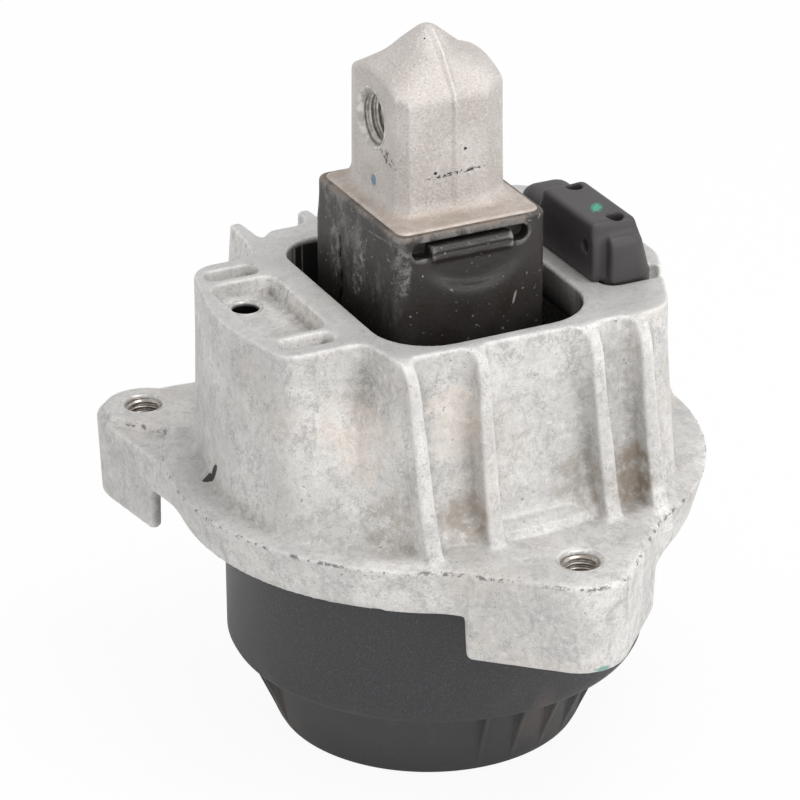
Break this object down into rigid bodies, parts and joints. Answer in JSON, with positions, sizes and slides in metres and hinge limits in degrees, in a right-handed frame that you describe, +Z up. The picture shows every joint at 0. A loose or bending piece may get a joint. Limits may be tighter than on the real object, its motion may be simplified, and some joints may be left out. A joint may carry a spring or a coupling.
{
  "type": "engine mount",
  "caption": "Fluid-damped engine mount: die-cast ribbed housing with threaded lugs on a dark round cup, rubber block with a cast threaded head, and a side stop buffer.",
  "frame": {"origin": "centre of the cup's flat foot, under the axis of the core; the mount stands on z = 0", "axes": "+Z up along the core's axis; -X is the side of the head that has the threaded hole; -Y is the side of the front lug"},
  "size_m": [0.1348, 0.1378, 0.166],
  "materials": {
    "cast_aluminium": "rough, as cast",
    "blasted_aluminium": "sand-blasted, as cast",
    "spring_rubber": "matt, with chalky scuffs",
    "buffer_rubber": "matt",
    "cup_plastic": "matt, finely speckled",
    "insert_steel": "dull",
    "ring_steel": "dull",
    "plate_plastic": "matt",
    "diaphragm_rubber": "matt"
  },
  "bodies": {
    "root": {"housing": "cast_aluminium", "core": "blasted_aluminium", "rubber_spring": "spring_rubber", "stop_buffer": "buffer_rubber", "cup": "cup_plastic", "lug_thread_inserts": "insert_steel", "spring_ring": "ring_steel", "upper_channel_plate": "plate_plastic", "lower_channel_plate": "plate_plastic", "decoupler_disc": "diaphragm_rubber", "rolling_diaphragm": "diaphragm_rubber"}
  },
  "joints": []
}
